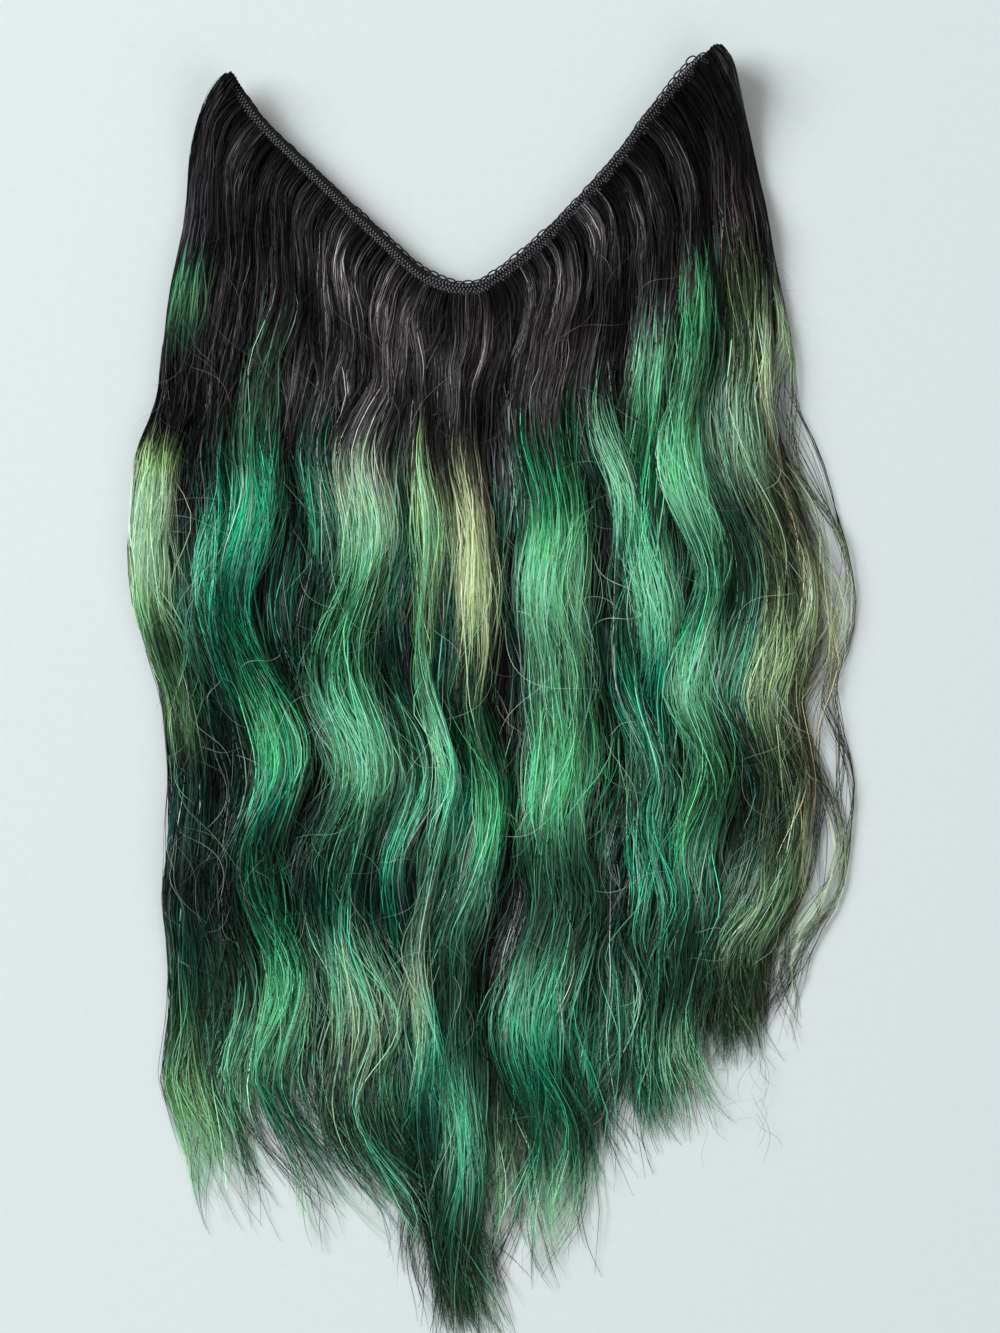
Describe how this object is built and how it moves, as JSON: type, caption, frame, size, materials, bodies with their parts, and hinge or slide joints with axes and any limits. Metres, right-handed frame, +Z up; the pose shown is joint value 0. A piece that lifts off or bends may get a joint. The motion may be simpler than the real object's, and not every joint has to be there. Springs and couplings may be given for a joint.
{
  "type": "halo hair extension",
  "caption": "Curtain of long wavy hair on a V-shaped sewn band with a looped edge, laid out flat, to be worn round the head on a thin line.",
  "frame": {"origin": "on the surface that the hair lies on, at the middle of the whole outline", "axes": "+Y from the tips of the hair towards the band, +X to the right as seen from above, +Z up out of the surface"},
  "size_m": [0.2904, 0.552, 0.0189],
  "materials": {
    "hair": "satin",
    "header": "matte",
    "thread": "matte"
  },
  "bodies": {
    "root": {"front_header": "header", "back_header": "header", "left_end_fold": "header", "right_end_fold": "header", "loop_edging": "thread", "hair_curtain": "hair"}
  },
  "joints": []
}
